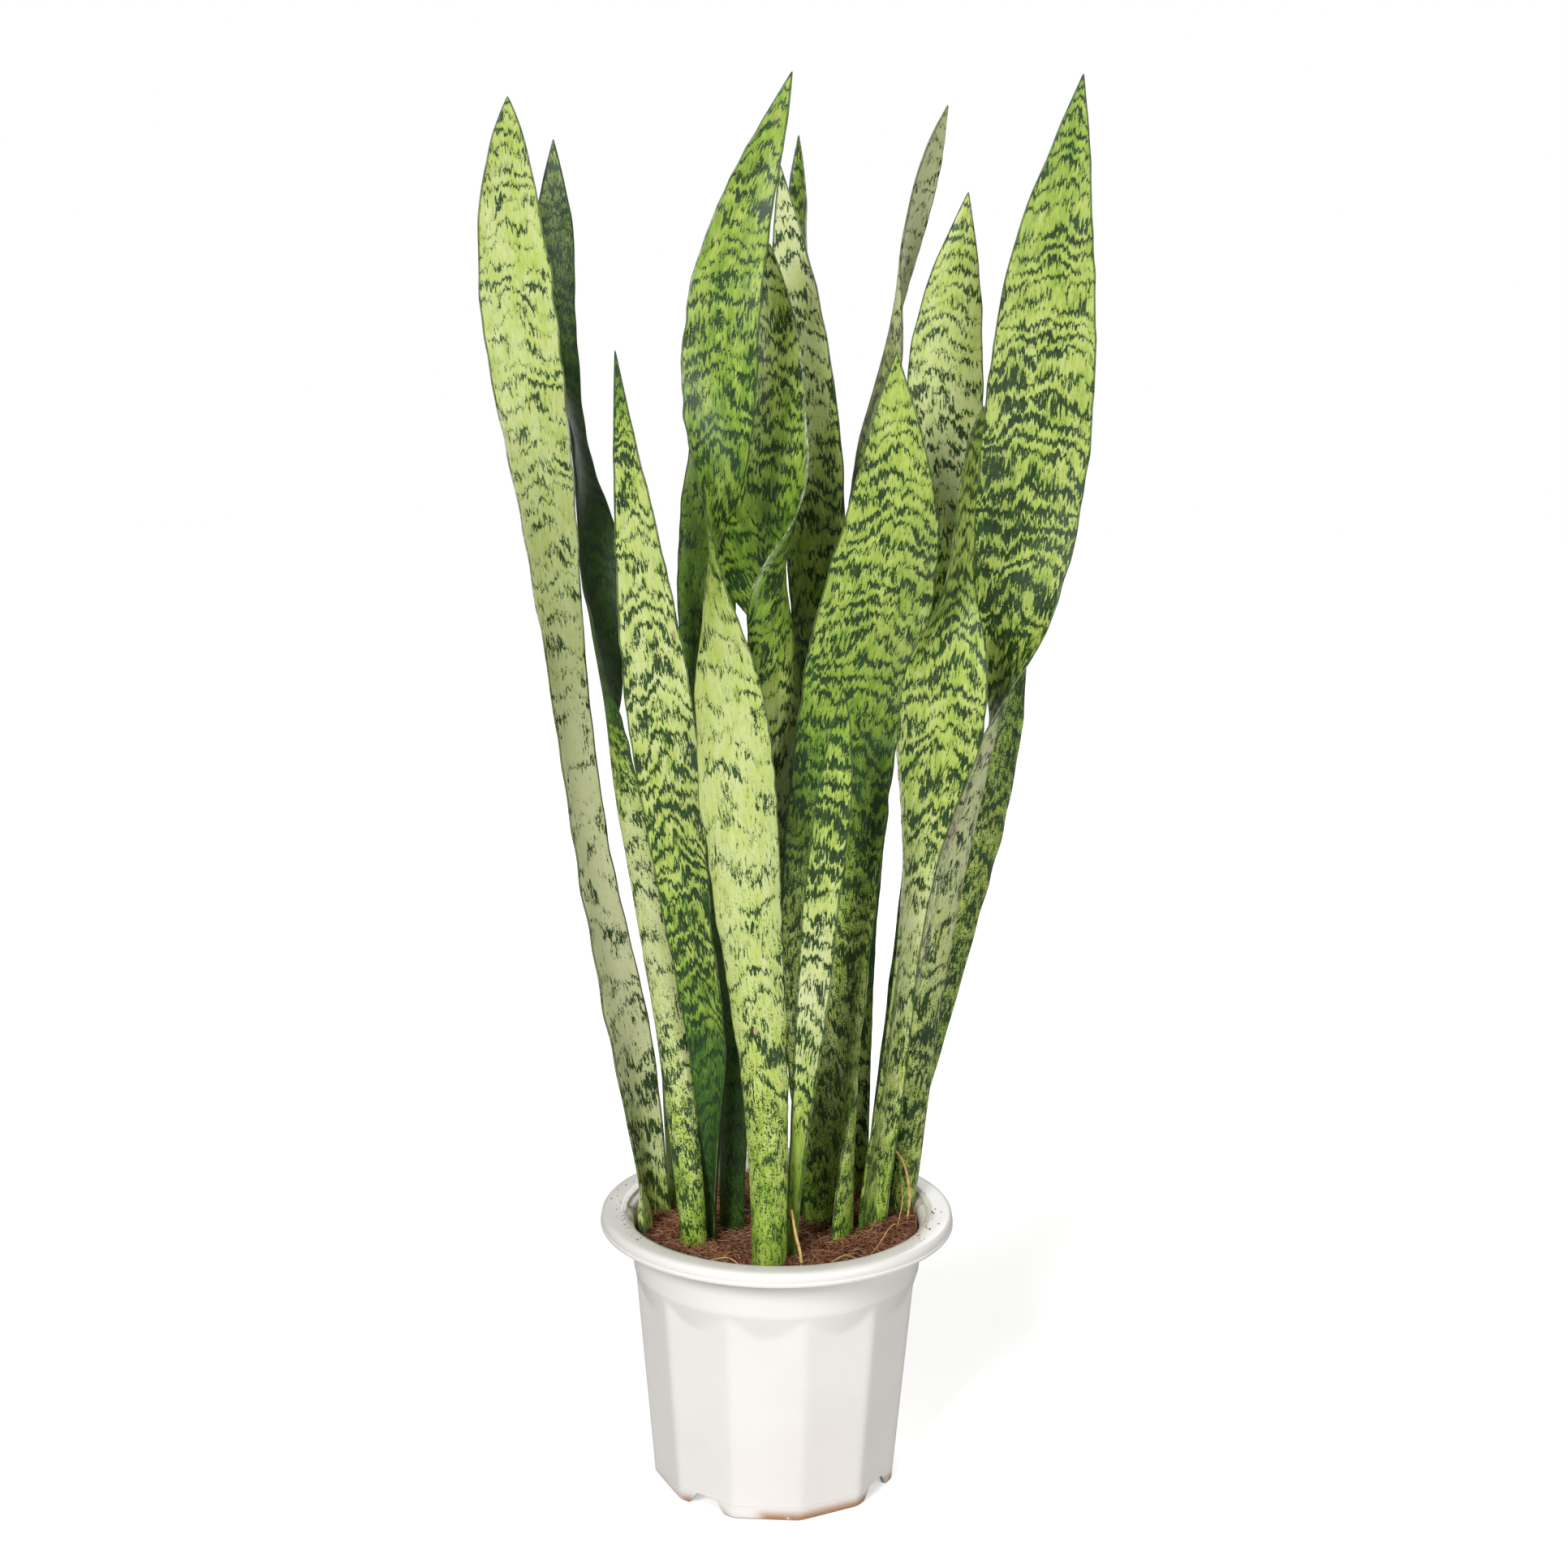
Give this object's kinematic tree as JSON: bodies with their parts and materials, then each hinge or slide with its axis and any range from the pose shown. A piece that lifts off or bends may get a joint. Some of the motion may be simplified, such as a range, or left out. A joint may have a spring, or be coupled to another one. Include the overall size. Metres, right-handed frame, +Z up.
{
  "type": "potted snake plant",
  "caption": "Tall banded snake plant with stiff, twisting sword leaves standing in coir soil in a white faceted nursery pot with a rolled rim.",
  "frame": {"origin": "middle of the pot's foot ring, on the surface it stands on", "axes": "+Z up along the pot's axis and the leaves, -Y to the front of the plant, +X to its right"},
  "size_m": [0.3259, 0.1996, 0.768],
  "materials": {
    "white_plastic": "satin-gloss moulded polypropylene, faintly soiled",
    "coir_soil": "loose fibrous coir, matt",
    "leaf_green": "waxy leaf skin, light green with jagged dark-green cross bands",
    "straw": "dry pale plant fibre"
  },
  "bodies": {
    "root": {"pot": "white_plastic", "soil": "coir_soil", "leaf_left_tall": "leaf_green", "leaf_left_twisted": "leaf_green", "leaf_left_short": "leaf_green", "leaf_left_inner": "leaf_green", "leaf_centre_tall": "leaf_green", "leaf_centre_hollow": "leaf_green", "leaf_back_pale": "leaf_green", "leaf_back_dark": "leaf_green", "leaf_back_thin": "leaf_green", "leaf_front_broad": "leaf_green", "leaf_right_back": "leaf_green", "leaf_right_twisted": "leaf_green", "leaf_front_small": "leaf_green", "leaf_right_tall": "leaf_green", "leaf_right_low": "leaf_green", "leaf_left_offset": "leaf_green", "sheath_left": "leaf_green", "straw_front": "straw", "straw_right": "straw"}
  },
  "joints": []
}
